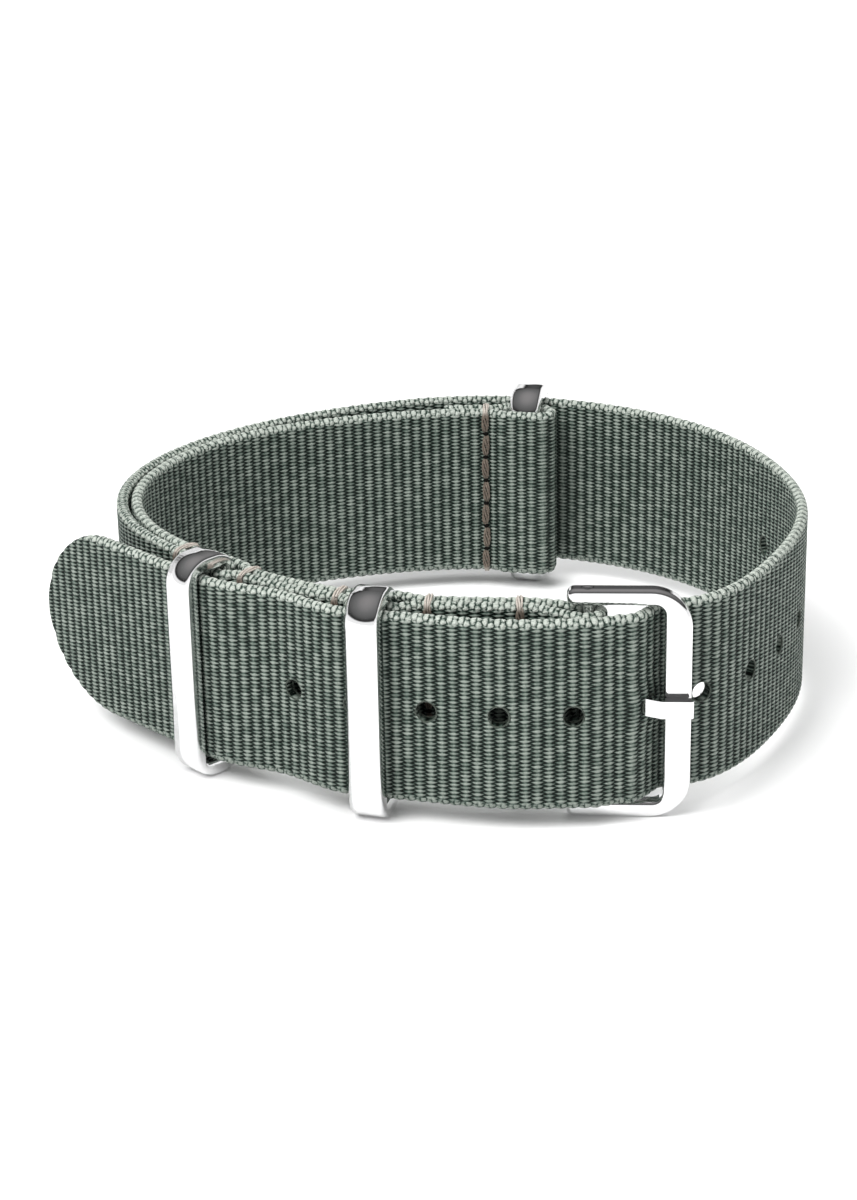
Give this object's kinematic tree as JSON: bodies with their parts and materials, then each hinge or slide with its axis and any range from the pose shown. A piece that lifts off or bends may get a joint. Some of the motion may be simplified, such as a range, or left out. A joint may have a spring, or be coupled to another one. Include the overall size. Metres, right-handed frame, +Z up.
{
  "type": "watch strap",
  "caption": "Woven slip-through watch strap closed in a loop: one folded length of webbing with stitched seams, a tongue buckle and metal keeper rings, for a watch head with straight bars.",
  "frame": {"origin": "on the floor that the strap stands on, below the middle of its outline in plan", "axes": "+Z up, along the webbing's width; +X to the right along the loop's wide way, with the buckle at the front right; -Y towards the viewer, the buckle's side"},
  "size_m": [0.0806, 0.0708, 0.0242],
  "materials": {
    "webbing": "woven, grey-green",
    "thread": "twisted sewing thread, taupe",
    "metal": "polished steel"
  },
  "bodies": {
    "strap": {"webbing": "webbing", "fold_seam_needle_thread": "thread", "fold_seam_bobbin_thread": "thread", "pocket_one_near_seam_needle_thread": "thread", "pocket_one_near_seam_bobbin_thread": "thread", "pocket_one_far_seam_needle_thread": "thread", "pocket_one_far_seam_bobbin_thread": "thread", "pocket_two_near_seam_needle_thread": "thread", "pocket_two_near_seam_bobbin_thread": "thread", "pocket_two_far_seam_needle_thread": "thread", "pocket_two_far_seam_bobbin_thread": "thread", "rear_seam_needle_thread": "thread", "rear_seam_bobbin_thread": "thread"},
    "buckle": {"buckle_frame": "metal", "buckle_pin": "metal"},
    "tongue": {"buckle_tongue": "metal"},
    "front_keeper": {"front_keeper": "metal"},
    "side_keeper": {"side_keeper": "metal"},
    "rear_ring": {"rear_ring": "metal"}
  },
  "joints": [
    {"name": "buckle_hinge", "type": "hinge", "parent": "strap", "child": "buckle", "pos_m": [0.01538, -0.03193, 0.0121], "axis": [0, 0, -1], "range_deg": [0, 2]},
    {"name": "tongue_hinge", "type": "hinge", "parent": "buckle", "child": "tongue", "pos_m": [0.01538, -0.03193, 0.0121], "axis": [0, 0, -1], "range_deg": [0, 2]},
    {"name": "front_keeper_slide", "type": "slide", "parent": "strap", "child": "front_keeper", "axis": [-0.9595, 0.2819, 0], "range_m": [-0.0003, 0.0003]},
    {"name": "side_keeper_slide", "type": "slide", "parent": "strap", "child": "side_keeper", "axis": [-0.7029, 0.7113, 0], "range_m": [-0.0003, 0.0003]},
    {"name": "rear_ring_hinge", "type": "hinge", "parent": "strap", "child": "rear_ring", "pos_m": [0.01173, 0.02882, 0.0119], "axis": [0, 0, 1], "range_deg": [-3, 3]}
  ]
}
